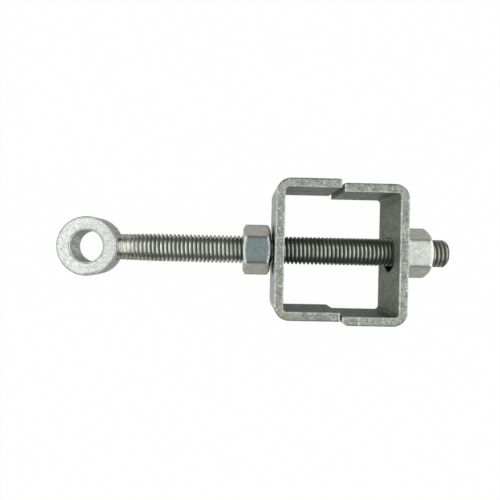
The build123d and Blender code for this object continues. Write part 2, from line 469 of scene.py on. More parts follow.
def galvanised_bar(finishes):
    """Dull, speckled zinc of the folded bar, with rolling streaks and a few stains; painted shade inside,
    painted shadow at the seat and in the hole, painted light outside, and edges bright from wear and painted
    highlight.
    """
    zinc = Zinc("galvanised_bar")
    mottle, grain = zinc.mottle(patch=3.2 * MM, speckle=0.8 * MM, contrast=0.26)
    streaks = zinc.grain(1.2 * MM, 2.0, squeeze=(0.06, 0.06, 1.0))
    inner_face = zinc.mark("inside")
    spangles = zinc.spread(zinc.grain(1.3 * MM, 2.0, 0.6), 0.6, 0.74, 0.0, 0.8)
    # Painted shade on the inner faces, streaked; fewer bright spangles show there too
    inside = zinc.times(inner_face, zinc.spread(streaks, 0.3, 0.7, 0.98, 0.8))
    rubbed = zinc.spread(zinc.grain(1.8 * MM, 2.0, 0.6), 0.38, 0.62, 0.3, 1.0)
    seat_shadow_and_contour = zinc.mark("seat_shadow_and_contour")
    base = zinc.layers(
        finishes.bar_dull,
        (mottle, finishes.bar_pale),
        (zinc.times(spangles, zinc.spread(inner_face, 0.0, 0.5, 1.0, 0.1)), finishes.bar_worn_and_highlight),
        # Painted light on the outer faces, streaked
        (zinc.times(zinc.mark("outside"), zinc.spread(streaks, 0.3, 0.7, 0.55, 0.9)), finishes.bar_outside_light),
        (inside, finishes.bar_inside_shade),
        (zinc.spread(zinc.grain(17 * MM, 1.0), 0.66, 0.76, 0.0, 0.6), finishes.bar_stain),
        # Wear and painted highlight along the edges
        (zinc.times(zinc.mark("edge_wear_and_highlight"), rubbed), finishes.bar_worn_and_highlight),
        # Painted shadow at the seat and in the hole, dark along the arms' outer contour
        (seat_shadow_and_contour, finishes.bar_painted_shadow),
    )
    matt = zinc.spread(zinc.math("MAXIMUM", inside, seat_shadow_and_contour), 0.0, 0.9)
    shine = {"Specular IOR Level": zinc.between(matt, 0.3, 0.06)}
    roughness = zinc.between(mottle, 0.65, 0.45)
    return zinc.finished(base, roughness, zinc.between(matt, 0.25, 0.0), grain, 0.12 * MM, **shine)


def zinc_nut(finishes):
    """Smoother zinc of the nuts, with painted highlights on their edges, painted shade between their flats
    and a painted bluish reflection on their level flats.
    """
    zinc = Zinc("zinc_nut")
    mottle, grain = zinc.mottle(patch=3 * MM, speckle=0.8 * MM, contrast=0.36)
    # Level flats take a bluish tone, a painted reflection of what lies overhead
    pale = zinc.blend(zinc.mark("level"), finishes.nut_pale, finishes.nut_level_reflection)
    rubs = zinc.grain(1.6 * MM, 3.0, 0.6, squeeze=(1.0, 0.6, 1.0))
    base = zinc.layers(
        finishes.nut_dull,
        (mottle, pale),
        (zinc.spread(rubs, 0.38, 0.66, 0.0, 0.55), finishes.nut_dull),
        # Painted highlight on the chamfers' edges
        (zinc.times(zinc.mark("edge_wear_and_highlight"), zinc.spread(mottle, 0.0, 0.6, 0.7, 1.0)), finishes.nut_edge_highlight),
        # Painted shade lines between the flats
        (zinc.mark("flat_edge_shade"), finishes.nut_shade_line),
        # Painted shade in the nut's thread grooves
        (zinc.times(zinc.mark("groove"), 0.9), finishes.shaded_groove),
    )
    return zinc.finished(base, zinc.between(mottle, 0.34, 0.24), 0.9, grain, 0.02 * MM)


# Mesh tools


def mesh_of(name, points, faces):
    """Return a mesh of points and faces with doubles merged and faces turned outwards."""
    mesh = bpy.data.meshes.new(name)
    mesh.from_pydata([tuple(point) for point in points], [], faces)
    shape = bmesh.new()
    shape.from_mesh(mesh)
    bmesh.ops.remove_doubles(shape, verts=shape.verts, dist=MERGE_DISTANCE)
    bmesh.ops.recalc_face_normals(shape, faces=shape.faces)
    shape.to_mesh(mesh)
    shape.free()
    return mesh


def sheet_faces(rows, columns, first=0, closed=False):
    """Return the quads of points laid row after row; a closed grid joins its last row to its first."""
    faces = []
    for row in range(rows if closed else rows - 1):
        here = first + row * columns
        there = first + (row + 1) % rows * columns
        for column in range(columns - 1):
            faces.append((here + column, here + column + 1, there + column + 1, there + column))
    return faces


def turned_ring(name, section, turn_steps, place):
    """Return the closed mesh of a section (radius, height) turned full circle; place lays out each point."""
    points = []
    outline = [*section, section[0]] if section[0][0] > 0 else section
    for step in range(turn_steps):
        turn = 2 * math.pi * step / turn_steps
        points.extend(place(radius, height, turn) for radius, height in outline)
    return mesh_of(name, points, sheet_faces(turn_steps, len(outline), closed=True))


def about_z(radius, height, turn):
    """Return a point on a ring round Z."""
    return radius * math.cos(turn), radius * math.sin(turn), height


def about_x(radius, height, turn):
    """Return a point on a ring round X, with its first point along Y."""
    return height, radius * math.cos(turn), radius * math.sin(turn)


def new_object(name, data):
    """Return a linked object of a mesh, a light or a camera, at the origin."""
    item = bpy.data.objects.new(name, data)
    bpy.context.scene.collection.objects.link(item)
    return item


def evaluated_mesh(piece):
    """Return the mesh of an object with its modifiers worked in, and remove the object."""
    depsgraph = bpy.context.evaluated_depsgraph_get()
    mesh = bpy.data.meshes.new_from_object(piece.evaluated_get(depsgraph))
    bpy.data.objects.remove(piece)
    return mesh


def combined(body_mesh, tool_mesh, operation):
    """Return one mesh cut by, or joined with, another."""
    body = new_object("body", body_mesh)
    tool = new_object("tool", tool_mesh)
    modifier = body.modifiers.new("combine", "BOOLEAN")
    modifier.operation = operation
    modifier.solver = "EXACT"
    modifier.object = tool
    mesh = evaluated_mesh(body)
    bpy.data.objects.remove(tool)
    if not mesh.polygons:
        raise RuntimeError(f"{operation} left nothing of {body_mesh.name}")
    return mesh


def vertex_array(mesh, normals=False):
    """Return the places, or the normals, of a mesh's vertices as an array."""
    source, field = (mesh.vertex_normals, "vector") if normals else (mesh.vertices, "co")
    values = np.empty(len(mesh.vertices) * 3, np.float32)
    source.foreach_get(field, values)
    return values.reshape(-1, 3).astype(float)


def place_vertices(mesh, places):
    """Move a mesh's vertices to new places."""
    mesh.vertices.foreach_set("co", places.astype(np.float32).ravel())
    mesh.update()


def bolt_reach(places):
    """Return each point's distance from the bolt's axis."""
    return np.hypot(places[:, 1], places[:, 2])


def ramp(values, start, end):
    """Return 0 at start to 1 at end for each value, held at both ends."""
    return np.clip((values - start) / (end - start), 0.0, 1.0)


def dent(mesh, depth, patch):
    """Sink a mesh along its normals by up to depth, in soft patches and finer waves."""
    fine_waves, fine_share = 4.1, 0.35
    places = vertex_array(mesh)
    normals = vertex_array(mesh, normals=True)
    for index, place in enumerate(places):
        spot = Vector(place) / patch
        waves = (1 - fine_share) * noise.noise(spot) + fine_share * noise.noise(spot * fine_waves)
        places[index] = place - normals[index] * depth * (0.5 + 0.5 * waves)
    place_vertices(mesh, places)


def leave_mark(mesh, name, values):
    """Keep one value a vertex in the mesh for its finish to read."""
    attribute = mesh.attributes.new(name, "FLOAT", "POINT")
    attribute.data.foreach_set("value", np.clip(values, 0.0, 1.0).astype(np.float32))


def edge_bend(mesh, full_bend, blur_passes):
    """Return how sharply the surface bends outwards at each vertex, 0 flat to 1 a full edge."""
    places = vertex_array(mesh)
    normals = vertex_array(mesh, normals=True)
    edges = np.empty(len(mesh.edges) * 2, np.int32)
    mesh.edges.foreach_get("vertices", edges)
    first, second = edges.reshape(-1, 2).T
    along = places[second] - places[first]
    along /= np.maximum(np.linalg.norm(along, axis=1), TINY)[:, None]
    count = np.bincount(edges, minlength=len(places)).clip(1)
    bend = np.bincount(first, -np.einsum("ij,ij->i", along, normals[first]), len(places))
    bend += np.bincount(second, np.einsum("ij,ij->i", along, normals[second]), len(places))
    bend = np.clip(bend / count / full_bend, 0.0, 1.0)
    for _ in range(blur_passes):
        around = np.bincount(first, bend[second], len(places)) + np.bincount(second, bend[first], len(places))
        bend = 0.5 * bend + 0.5 * around / count
    return bend


def finished_piece(name, mesh, materials, body, smooth_angle=math.radians(32)):
    """Make a finished piece that rides on its body and stands for the frame's node of that name."""
    mesh.name = name
    mesh.materials.clear()
    for material in materials:
        mesh.materials.append(material)
    mesh.shade_smooth()
    mesh.set_sharp_from_angle(angle=smooth_angle)
    piece = new_object(name, mesh)
    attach(piece, body)
    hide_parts(body)
    return piece


# Thread


def thread_tree():
    """Return the node tree that winds a flat grid into one closed threaded rod along X."""
    spare_turns, head_turns = 3.0, 2.0  # wound past both ends, and past the head end alone
    root_end, crest_start = 0.05, 0.66  # shares of the way up a flank
    tree = bpy.data.node_groups.new("rolled_thread", "GeometryNodeTree")
    tree.interface.new_socket("Geometry", in_out="OUTPUT", socket_type="NodeSocketGeometry")
    for kind, labels in (
        ("Float", ("Start", "End", "Pitch", "Crest Radius", "Root Radius", "Blank Radius")),
        ("Float", ("Run-out Start", "Run-out End", "Tip Radius")),
        ("Int", ("Turn Steps", "Pitch Steps")),
        ("Material", ("Material",)),
    ):
        for label in labels:
            tree.interface.new_socket(label, in_out="INPUT", socket_type=f"NodeSocket{kind}")
    bench = NodeBench(tree)
    given = bench.node("NodeGroupInput").outputs
    start, end, pitch = given["Start"], given["End"], given["Pitch"]

    # The grid is one strip: a row goes round the rod, a column goes across one pitch
    span = bench.math("DIVIDE", bench.math("SUBTRACT", end, start), pitch)
    turns = bench.math("ADD", bench.math("CEIL", span), spare_turns)
    row_points = bench.math("MULTIPLY_ADD", turns, given["Turn Steps"], 1.0)
    column_points = bench.math("ADD", given["Pitch Steps"], 1.0)
    grid_inputs = {"Size X": 1.0, "Size Y": 1.0, "Vertices X": row_points, "Vertices Y": column_points}
    grid = bench.node("GeometryNodeMeshGrid", grid_inputs).outputs["Mesh"]
    flat_x, flat_y, _ = bench.axes(bench.node("GeometryNodeInputPosition").outputs[0])
    turn = bench.times(bench.math("ADD", flat_x, 0.5), turns)
    across = bench.math("ADD", flat_y, 0.5)

    # Along the rod, held between its ends; past them the strip winds in to the middle of each end face
    strip = bench.math("SUBTRACT", bench.math("ADD", turn, across), head_turns)
    wound = bench.math("MULTIPLY_ADD", strip, pitch, start)
    along = bench.math("MAXIMUM", bench.math("MINIMUM", wound, end), start)
    head_cap = bench.spread(wound, bench.math("SUBTRACT", start, pitch), start)
    tail_cap = bench.spread(wound, end, bench.math("ADD", end, pitch), 1.0, 0.0)

    # Rolled profile, grown from the plain blank along the run-out
    ridge = bench.math("SUBTRACT", 1.0, bench.math("ABSOLUTE", bench.math("MULTIPLY_ADD", across, 2.0, -1.0)))
    height = bench.spread(ridge, root_end, crest_start, curve="SMOOTHSTEP")
    full = bench.between(height, given["Root Radius"], given["Crest Radius"])
    growth = bench.spread(along, given["Run-out Start"], given["Run-out End"], curve="SMOOTHSTEP")
    radius = bench.between(growth, given["Blank Radius"], full)
    tip = bench.math("ADD", given["Tip Radius"], bench.math("SUBTRACT", end, along))
    radius = bench.times(bench.math("MINIMUM", radius, tip), bench.math("MINIMUM", head_cap, tail_cap))

    bearing = bench.times(turn, 2 * math.pi)
    side = bench.times(radius, bench.math("COSINE", bearing))
    rise = bench.times(radius, bench.math("SINE", bearing))
    spot = bench.node("ShaderNodeCombineXYZ", {0: along, 1: side, 2: rise}).outputs[0]
    rod = grid
    for kind, inputs in (
        ("GeometryNodeSetPosition", {"Position": spot}),
        ("GeometryNodeMergeByDistance", {"Distance": MERGE_DISTANCE}),
        ("GeometryNodeRealizeInstances", {}),
        ("GeometryNodeSetMaterial", {"Material": given["Material"]}),
    ):
        rod = bench.node(kind, {"Geometry": rod, **inputs}).outputs[0]
    bench.node("NodeGroupOutput", {"Geometry": rod})
    return tree


def threaded_rod(name, sizes, start, end, gap=0.0, material=None):
    """Return the mesh of a threaded rod that stands a gap proud of the bolt's own thread."""
    crest = sizes.crest_radius + gap
    values = {
        "Start": start,
        "End": end,
        "Pitch": sizes.pitch,
        "Crest Radius": crest,
        "Root Radius": crest - sizes.thread_depth,
        "Blank Radius": sizes.neck_radius + gap,
        "Run-out Start": sizes.runout_start,
        "Run-out End": sizes.runout_start + sizes.runout_length,
        "Tip Radius": crest - sizes.tip_chamfer,
        "Turn Steps": sizes.turn_steps,
        "Pitch Steps": sizes.flank_steps,
        "Material": material,
    }
    tree = bpy.data.node_groups.get("rolled_thread") or thread_tree()
    host = new_object(name, bpy.data.meshes.new(name))
    modifier = host.modifiers.new("thread", "NODES")
    modifier.node_group = tree
    for item in tree.interface.items_tree:
        if item.in_out == "INPUT":
            modifier[item.identifier] = values[item.name]
    mesh = evaluated_mesh(host)
    if not mesh.polygons:
        raise RuntimeError(f"the thread of {name} came out empty")
    return mesh


def raise_skin(rod, places, rise, sizes):
    """Move a rod's skin out from its axis by a rise for each point, and leave the middles of its ends."""
    reach = bolt_reach(places)
    on_skin = reach > 0.5 * sizes.neck_radius
    places[:, 1:] *= np.where(on_skin, 1.0 + rise / np.maximum(reach, MM), 1.0)[:, None]
    place_vertices(rod, places)


def mark_grooves(mesh, sizes):
    """Mark how deep below the crests of the thread each vertex lies; the cut end counts as half deep."""
    depth_of_cut_end = 1.2 * sizes.thread_depth
    places = vertex_array(mesh)
    share = ramp(places[:, 0], sizes.runout_start, sizes.runout_start + sizes.runout_length)
    growth = share * share * (3.0 - 2.0 * share)
    crest = sizes.neck_radius + (sizes.crest_radius - sizes.neck_radius) * growth
    depth = crest - bolt_reach(places)
    depth = np.where(depth > depth_of_cut_end, 0.5 * sizes.thread_depth, depth)
    leave_mark(mesh, "groove", depth / (sizes.thread_depth * np.maximum(growth, 0.5)))


# Eye bolt


def ring_section(sizes):
    """Return the ring's section (radius, height) with round corners, from the lower inner one."""
    arc_steps, wall_steps = 4, 14
    arcs = []
    for radius, inwards, rounding, side, first_angle in (
        (bore_radius, 1, sizes.bore_rim, -1, 180),
        (eye_radius, -1, sizes.outer_rim, -1, 270),
        (eye_radius, -1, sizes.outer_rim, 1, 0),
        (bore_radius, 1, sizes.bore_rim, 1, 90),
    ):
        centre_r = radius + inwards * rounding
        centre_z = side * (eye_half_thickness - rounding)
        turns = [math.radians(first_angle + 90 * step / arc_steps) for step in range(arc_steps + 1)]
        arcs.append([(centre_r + rounding * math.cos(t), centre_z + rounding * math.sin(t)) for t in turns])
    section = []
    for arc, next_arc in zip(arcs, [*arcs[1:], arcs[0]]):
        shares = [step / wall_steps for step in range(1, wall_steps)]
        wall = [tuple(a + (b - a) * share for a, b in zip(arc[-1], next_arc[0])) for share in shares]
        section += [*arc, *wall]
    return section


def eye_bearings(places, sizes):
    """Return each point's distance from the bore's axis, its bearing, and whether that is in the lap."""
    bearing = np.arctan2(places[:, 1], places[:, 0])
    in_lap = (bearing > sizes.lap_start) & (bearing < sizes.lap_end)
    return np.hypot(places[:, 0], places[:, 1]), bearing, in_lap


def eye_ring(sizes):
    """Return the forged ring, slightly uneven, with a lap along the lower rim of its upper face."""
    ring_steps = 200
    dent_depth, dent_patch = 0.09 * MM, 3.5 * MM
    lap_fade = math.radians(20)
    ring = turned_ring("ring", ring_section(sizes), ring_steps, about_z)
    dent(ring, dent_depth, dent_patch)
    places = vertex_array(ring)
    reach, bearing, in_lap = eye_bearings(places, sizes)
    on_face = places[:, 2] > eye_half_thickness - sizes.outer_rim
    lapped = on_face & in_lap & (reach > eye_radius - sizes.lap_width)
    fade = ramp(bearing, sizes.lap_end, sizes.lap_end - lap_fade)
    places[:, 2] -= np.where(lapped, sizes.lap_depth * fade, 0.0)
    place_vertices(ring, places)
    return ring


def blend_neck(rod, sizes):
    """Flare a rod where it meets the ring, as the forging does."""
    places = vertex_array(rod)
    fillet = sizes.neck_fillet
    wall = np.sqrt(np.maximum(eye_radius**2 - places[:, 1] ** 2, 0.0))
    off_wall = np.clip(places[:, 0] - wall, 0.0, fillet)
    raise_skin(rod, places, fillet - np.sqrt(fillet**2 - (fillet - off_wall) ** 2), sizes)


def lump_neck(rod, sizes):
    """Make the zinc on the first turns uneven, less and less along the run-out."""
    places = vertex_array(rod)
    fade = ramp(places[:, 0], eye_radius + sizes.runout_length, eye_radius)
    lumps = np.array([noise.noise(Vector(place) / sizes.lump_size) for place in places])
    raise_skin(rod, places, sizes.lump_height * fade * lumps, sizes)


def mark_eye(mesh, sizes):
    """Mark the eye's upright walls, its bore, the bore's rims for a painted highlight, and the painted shade
    lines where its faces end and along the lap.
    """
    neck_edge, neck_clear = math.radians(14), math.radians(26)
    bore_reach = bore_radius + 1.1 * sizes.bore_rim
    face_slant, wall_slant, line_slant = 0.9, 0.5, 0.4  # a normal's share along the bore
    rim_slant, rim_spread = 0.65, 0.35
    places = vertex_array(mesh)
    facing = np.abs(vertex_array(mesh, normals=True)[:, 2])
    reach, bearing, in_lap = eye_bearings(places, sizes)
    in_bore = reach < bore_reach
    off_neck = np.where(in_bore, 1.0, ramp(np.abs(bearing), neck_edge, neck_clear))
    leave_mark(mesh, "wall", off_neck * ramp(facing, face_slant, wall_slant))
    leave_mark(mesh, "bore", in_bore.astype(float))
    # The bore's rounded rims, which take a painted highlight
    leave_mark(mesh, "bore_rim", np.where(in_bore, 1.0 - np.abs(facing - rim_slant) / rim_spread, 0.0))

    def line_at(line_reach):
        """Return how near each point is to a line round the bore, 1 on it to 0 a line's width away."""
        return 1.0 - np.abs(reach - line_reach) / sizes.rim_shade_line

    # Painted shade lines along the lap and where the faces end at the rims
    lap = np.where(in_lap & (places[:, 2] > 0), line_at(eye_radius - sizes.lap_width), 0.0)
    rims = np.maximum(line_at(bore_radius + sizes.bore_rim), off_neck * line_at(eye_radius - sizes.outer_rim))
    leave_mark(mesh, "rim_shade_line", np.where(facing > line_slant, np.maximum(rims, lap), 0.0))


def build_eye_bolt(sizes, finishes):
    """Make the eye bolt: forged ring and rolled thread in one."""
    eye = galvanised_eye(finishes)
    thread = galvanised_thread(finishes, sizes)
    rod = threaded_rod("rod", sizes, thread_start, bolt_end, material=thread)
    blend_neck(rod, sizes)
    lump_neck(rod, sizes)
    mesh = combined(eye_ring(sizes), rod, "UNION")
    mark_grooves(mesh, sizes)
    mark_eye(mesh, sizes)
    piece = finished_piece("eye_bolt_forged", mesh, [eye, thread], "eye_bolt")
    thread_reach = eye_radius + 0.02 * MM  # outside it a facet is of the thread
    for polygon in piece.data.polygons:
        polygon.material_index = int(math.hypot(polygon.center.x, polygon.center.y) > thread_reach)


# Nuts


def nut_body(sizes, start, end):
    """Return a hexagon nut's blank between two planes, inside its turned cones, with a small plain bore."""
    flat_steps, wall_rows = 12, 8
    bevel_steps, bevel_from = 2, math.radians(14)
    blank_bore = 0.5 * nut_half_flats
    face_radius = nut_half_flats - sizes.face_relief
    turn_steps = 6 * flat_steps
    points = []
    for step in range(turn_steps):
        turn = 2 * math.pi * step / turn_steps
        corner_reach = nut_half_flats / math.cos(turn % (math.pi / 3) - math.pi / 6)
        chamfer = (corner_reach - face_radius) * math.tan(sizes.chamfer_angle)
        rows = [(blank_bore, start), (face_radius, start)]
        for row in range(wall_rows + 1):
            rows.append((corner_reach, start + chamfer + (end - start - 2 * chamfer) * (row / wall_rows)))
        rows += [(face_radius, end), (blank_bore, end), (blank_bore, start)]
        points.extend(about_x(radius, height, turn) for radius, height in rows)
    blank = mesh_of("nut_blank", points, sheet_faces(turn_steps, len(rows), closed=True))
    body = new_object("nut_blank", blank)
    bevel = body.modifiers.new("soft_edges", "BEVEL")
    bevel.width = sizes.edge_round
    bevel.segments = bevel_steps
    bevel.limit_method = "ANGLE"
    bevel.angle_limit = bevel_from
    return evaluated_mesh(body)


def thread_cutter(sizes, bolt_sizes, start, end):
    """Return a rod that cuts a nut's thread in step with the bolt's, with a countersink at both faces."""
    pitch = bolt_sizes.pitch
    past = 2 * pitch
    lead = math.floor((start - past - thread_start) / pitch)
    in_step = thread_start + lead * pitch
    cutter = threaded_rod("cutter", bolt_sizes, in_step, end + past, sizes.thread_clearance)
    places = vertex_array(cutter)
    along = places[:, 0]
    mouth = bolt_sizes.crest_radius + sizes.thread_entry
    nearest_face = np.minimum(np.abs(along - start), np.abs(along - end))
    wanted = np.where((along < start) | (along > end), mouth, mouth - nearest_face)
    raise_skin(cutter, places, np.maximum(wanted - bolt_reach(places), 0.0), bolt_sizes)
    return cutter


def mark_nut_edges(mesh, start, end):
    """Mark painted highlights on the turned chamfers' edges, painted shade lines between the flats, and the
    level flats that take a painted reflection.
    """
    turned_reach, turned_fade = 2.2 * MM, 0.6 * MM
    least_highlight = 0.15
    highlight_from, highlight_full = 0.75, 0.95  # heights over the bolt's axis, in half flats
    level_from, level_full = 0.8, 0.95  # a normal's share along the bore
    shade_line_gain = 2.0
    bend = edge_bend(mesh, full_bend=0.2, blur_passes=1)
    places = vertex_array(mesh)
    from_face = np.minimum(places[:, 0] - start, end - places[:, 0])
    turned = ramp(from_face, turned_reach, turned_reach - turned_fade)
    height = np.abs(places[:, 2]) / nut_half_flats
    # Painted highlight, strongest on the edges high over the axis, by the level flats
    worn_and_lit = np.maximum(ramp(height, highlight_from, highlight_full), least_highlight)
    facing = np.abs(vertex_array(mesh, normals=True)[:, 2])
    leave_mark(mesh, "edge_wear_and_highlight", bend * turned * worn_and_lit)
    # Painted shade along the edges between the flats
    leave_mark(mesh, "flat_edge_shade", shade_line_gain * bend * (1.0 - turned))
    # The level flats, which take a painted reflection
    leave_mark(mesh, "level", ramp(facing, level_from, level_full))


def build_nut(node, sizes, bolt_sizes, finish):
    """Make one hexagon nut with a cut thread."""
    low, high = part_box(node)
    cutter = thread_cutter(sizes, bolt_sizes, low.x, high.x)
    mesh = combined(nut_body(sizes, low.x, high.x), cutter, "DIFFERENCE")
    mark_nut_edges(mesh, low.x, high.x)
    mark_grooves(mesh, bolt_sizes)
    finished_piece(f"{node}_turned", mesh, [finish], node, smooth_angle=math.radians(24))


# Brackets


def rounded_corner(first, second, radius):
    """Move points near a square edge on to an arc; both arrays are distances inwards from the two faces."""
    a = np.clip(radius - first, 0.0, None)
    b = np.clip(radius - second, 0.0, None)
    inside = (a > 0) & (b > 0)
    scale = np.where(inside, np.maximum(a, b) / np.maximum(np.hypot(a, b), TINY), 1.0)
    return np.where(inside, radius - a * scale, first), np.where(inside, radius - b * scale, second)


def stations(total, step, edge_spots):
    """Return places from 0 to total: those in edge_spots at both ends, and even steps between."""
    last = edge_spots[-1]
    count = max(2, round((total - 2 * last) / step))
    middle = [last + (total - 2 * last) * index / count for index in range(1, count)]
    return np.array([*edge_spots, *middle, *(total - spot for spot in reversed(edge_spots))])


class FoldedBar:
    """The fold of a bracket: where each point of the straight bar goes."""

    def __init__(self, sizes, rollovers):
        self.sizes = sizes
        self.rollovers = rollovers
        self.arm = arm_length - sizes.outer_bend
        self.bend = 0.5 * math.pi * 0.5 * (sizes.outer_bend + sizes.inner_bend)
        self.half_length = self.arm + self.bend + bracket_half_width - sizes.outer_bend

    def face_at(self, run, inset, radius):
        """Return a face's line (depth behind the plate, side) at runs from an arm end, inset from outside."""
        on_arm = ramp(run, 0.0, self.arm)
        turn = 0.5 * math.pi * ramp(run, self.arm, self.arm + self.bend)
        on_plate = ramp(run, self.arm + self.bend, self.half_length)
        half_width = bracket_half_width - inset
        depth = arm_length - on_arm * (arm_length - inset - radius) - radius * np.sin(turn)
        side = half_width - radius * (1 - np.cos(turn)) - on_plate * (half_width - radius)
        return depth, side

    def points(self, run, depth, width):
        """Return points (depth behind the plate, side, width) of the bar with its edges rounded."""
        sizes = self.sizes
        thickness = sizes.bar_thickness
        from_end = np.minimum(run, 2 * self.half_length - run)
        from_rim = bar_half_width - np.abs(width)
        depth, from_rim = rounded_corner(depth, from_rim, sizes.edge_round)
        from_back, from_rim = rounded_corner(thickness - depth, from_rim, sizes.edge_round)
        depth = thickness - from_back
        lower = run > self.half_length
        rollover = np.where(lower, self.rollovers[1], self.rollovers[0])
        from_end, depth = rounded_corner(from_end, depth, rollover)
        from_end, from_back = rounded_corner(from_end, thickness - depth, sizes.shear_edge)
        share = (thickness - from_back) / thickness
        from_end, from_rim = rounded_corner(from_end, from_rim, sizes.shear_edge)
        outer_depth, outer_side = self.face_at(from_end, 0.0, sizes.outer_bend)
        inner_depth, inner_side = self.face_at(from_end, thickness, sizes.inner_bend)
        side = np.where(lower, -1.0, 1.0) * (outer_side + (inner_side - outer_side) * share)
        back = outer_depth + (inner_depth - outer_depth) * share
        return np.stack([back, side, np.sign(width) * (bar_half_width - from_rim)], axis=-1)


def bracket_bar(sizes, rollovers):
    """Return the folded bar before its hole is punched, as (depth behind the plate, side, width)."""
    end_steps = 8
    fold = FoldedBar(sizes, rollovers)
    thickness = sizes.bar_thickness
    edge = sizes.edge_round
    rim = [0.0, 0.3 * edge, 0.6 * edge, edge]
    ends = [step * max(rollovers) / end_steps for step in range(end_steps + 1)]
    runs = stations(2 * fold.half_length, sizes.grid_step, ends)
    widths = stations(2 * bar_half_width, sizes.grid_step, rim) - bar_half_width
    depths = stations(thickness, sizes.edge_step, rim)
    points, faces = [], []

    def add_side(run, depth, width):
        """Add one side of the bar from arrays that span its grid."""
        run, depth, width = np.broadcast_arrays(run, depth, width)
        faces.extend(sheet_faces(*run.shape, first=len(points)))
        points.extend(fold.points(run.ravel(), depth.ravel(), width.ravel()))

    for depth in (0.0, thickness):
        add_side(runs[:, None], np.array(depth), widths[None, :])
    for width in (-bar_half_width, bar_half_width):
        add_side(runs[:, None], depths[None, :], np.array(width))
    for run in (0.0, 2 * fold.half_length):
        add_side(np.array(run), depths[:, None], widths[None, :])
    return points, faces


def hole_punch(sizes, back, inwards, side):
    """Return the punch that leaves a plate's hole, with a rolled lip where it went in."""
    lip_steps, turn_steps = 4, 96
    spare = 1.0 * MM
    lip = sizes.hole_lip
    through = sizes.bar_thickness + spare
    profile = [(0.0, -spare), (sizes.hole_radius + lip, -spare)]
    for step in range(lip_steps + 1):
        turn = 0.5 * math.pi * step / lip_steps
        profile.append((sizes.hole_radius + lip * (1 - math.sin(turn)), lip * (1 - math.cos(turn))))
    profile += [(sizes.hole_radius, through), (0.0, through)]

    def through_plate(radius, height, turn):
        """Return a point on a ring round the hole's axis."""
        return back + inwards * height, side + radius * math.cos(turn), radius * math.sin(turn)

    return turned_ring("punch", profile, turn_steps, through_plate)


def mark_bracket(mesh, sizes, back, inwards, side):
    """Mark a bracket's inner faces for painted shade, its outer faces for painted light, its painted shadow
    at the seat and in the hole, its dark arm contours, and its edges for wear and painted highlight.
    """
    skin, end_skin = 0.3 * MM, 0.05 * MM  # within which a vertex counts as on a face or a sheared end
    places = vertex_array(mesh)
    depth = (places[:, 0] - back) * inwards
    across = np.abs(places[:, 1] - side)
    from_rim = bar_half_width - np.abs(places[:, 2])
    from_hole = np.hypot(across, places[:, 2]) - sizes.hole_radius
    in_hole = from_hole < sizes.hole_lip
    at_end = depth > arm_length - sizes.shear_edge - end_skin
    arm_start = bracket_half_width - sizes.outer_bend
    past_plate = np.clip(across - arm_start, 0.0, None)
    bend_reach = np.hypot(np.clip(sizes.outer_bend - depth, 0.0, None), past_plate)

    # Inner faces take painted shade and outer faces painted light, clear of the bar's long edges; the plate's
    # inner face is shaded less than the arms'
    rim_width, face_start = 0.3 * MM, 0.7 * MM
    plate_shade, lower_arm_shade, upper_arm_shade = 0.5, 0.95, 0.6
    inner_side = bracket_half_width - sizes.bar_thickness
    inside = (depth > sizes.bar_thickness - skin) & (across < inner_side + skin)
    outside = bend_reach > sizes.outer_bend - skin
    clear_of_rim = ramp(from_rim, rim_width, face_start)
    on_plate = across < inner_side - sizes.inner_bend
    arm_shade = np.where(places[:, 1] < side, lower_arm_shade, upper_arm_shade)
    inner_shade = np.where(on_plate, plate_shade, arm_shade)
    leave_mark(mesh, "inside", np.where(in_hole, 1.0, (inside | at_end) * clear_of_rim * inner_shade))
    leave_mark(mesh, "outside", np.where(in_hole, 0.0, outside * clear_of_rim))

    # Painted shadow on the nut's seat and in the hole, and darker along the outer contour of the arms
    seat_fade, contour_width, contour_share = 0.8 * MM, 0.8 * MM, 0.55
    arm_fade = 0.6 * sizes.outer_bend
    near_bolt = ramp(bolt_reach(places), sizes.seat_radius, sizes.seat_radius - seat_fade)
    seat = np.where(depth < skin, near_bolt, 0.0)
    on_rim = ramp(from_rim, 2 * sizes.edge_round, sizes.edge_round)
    on_arm = ramp(across, arm_start, arm_start + arm_fade)
    contour = ramp(bend_reach, sizes.outer_bend - contour_width, sizes.outer_bend - skin)
    arm_contour = on_rim * on_arm * contour
    leave_mark(mesh, "seat_shadow_and_contour", np.where(in_hole, 1.0, np.maximum(seat, contour_share * arm_contour)))

    # Wear and painted highlight on the edges, less on the arms; near an arm's end only on its rim
    tip_fade, tip_reach = 0.8 * MM, 0.9 * MM
    edge_gain, edge_start, arm_share = 2.8, 0.5, 0.6
    arm_tip = on_rim * ramp(depth, arm_length - tip_fade, arm_length)
    bend = edge_bend(mesh, full_bend=0.12, blur_passes=2)
    wear_and_highlight = np.clip(edge_gain * bend - edge_start, 0.0, 1.0)
    wear_and_highlight *= (1.0 - arm_contour) * (1.0 - arm_share * on_arm)
    near_end = depth > arm_length - tip_reach
    wear_and_highlight = np.where(near_end, on_rim * np.maximum(at_end, arm_tip * (1.0 - arm_contour)), wear_and_highlight)
    leave_mark(mesh, "edge_wear_and_highlight", np.where(in_hole, 0.0, wear_and_highlight))


